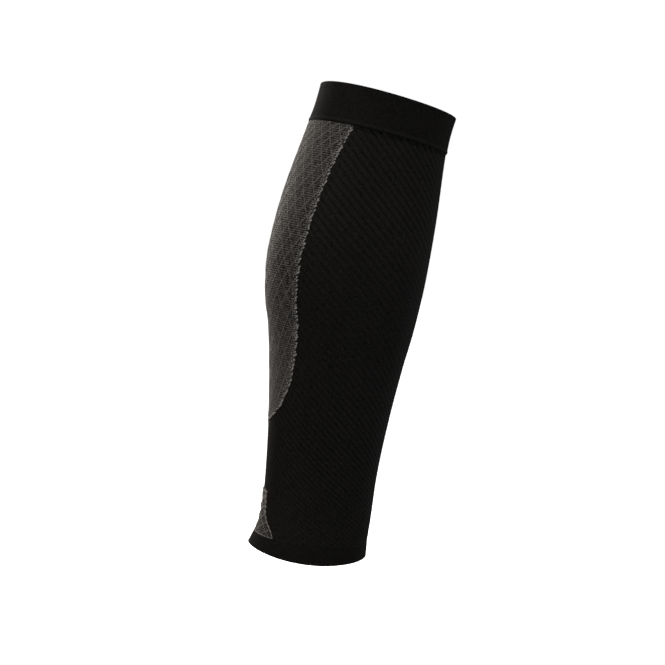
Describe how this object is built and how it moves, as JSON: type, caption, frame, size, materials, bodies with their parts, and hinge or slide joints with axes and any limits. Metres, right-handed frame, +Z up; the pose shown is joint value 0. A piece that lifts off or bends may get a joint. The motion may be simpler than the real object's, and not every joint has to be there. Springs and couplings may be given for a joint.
{
  "type": "compression calf sleeve",
  "caption": "Knitted compression sleeve for the lower leg in its worn form: wide double cuff, ribbed tube, grey mesh panels over the calf and the heel cord, and a flared hem.",
  "frame": {"origin": "on the leg's line at the level of the greatest calf girth, where the sleeve sits on the leg", "axes": "+Z up the leg to the knee, +X forwards to the shin, -Y out to the side of the leg that the picture shows"},
  "size_m": [0.1182, 0.1106, 0.3413],
  "materials": {
    "black_band": "smooth matt black double knit",
    "black_knit": "matt black knit with fine slanting ribs",
    "grey_mesh": "dark grey mesh knit with a lattice of lighter yarn"
  },
  "bodies": {
    "root": {"top_cuff": "black_band", "leg_tube": "black_knit", "calf_panel": "grey_mesh", "ankle_panel": "grey_mesh", "bottom_hem": "black_band"}
  },
  "joints": []
}
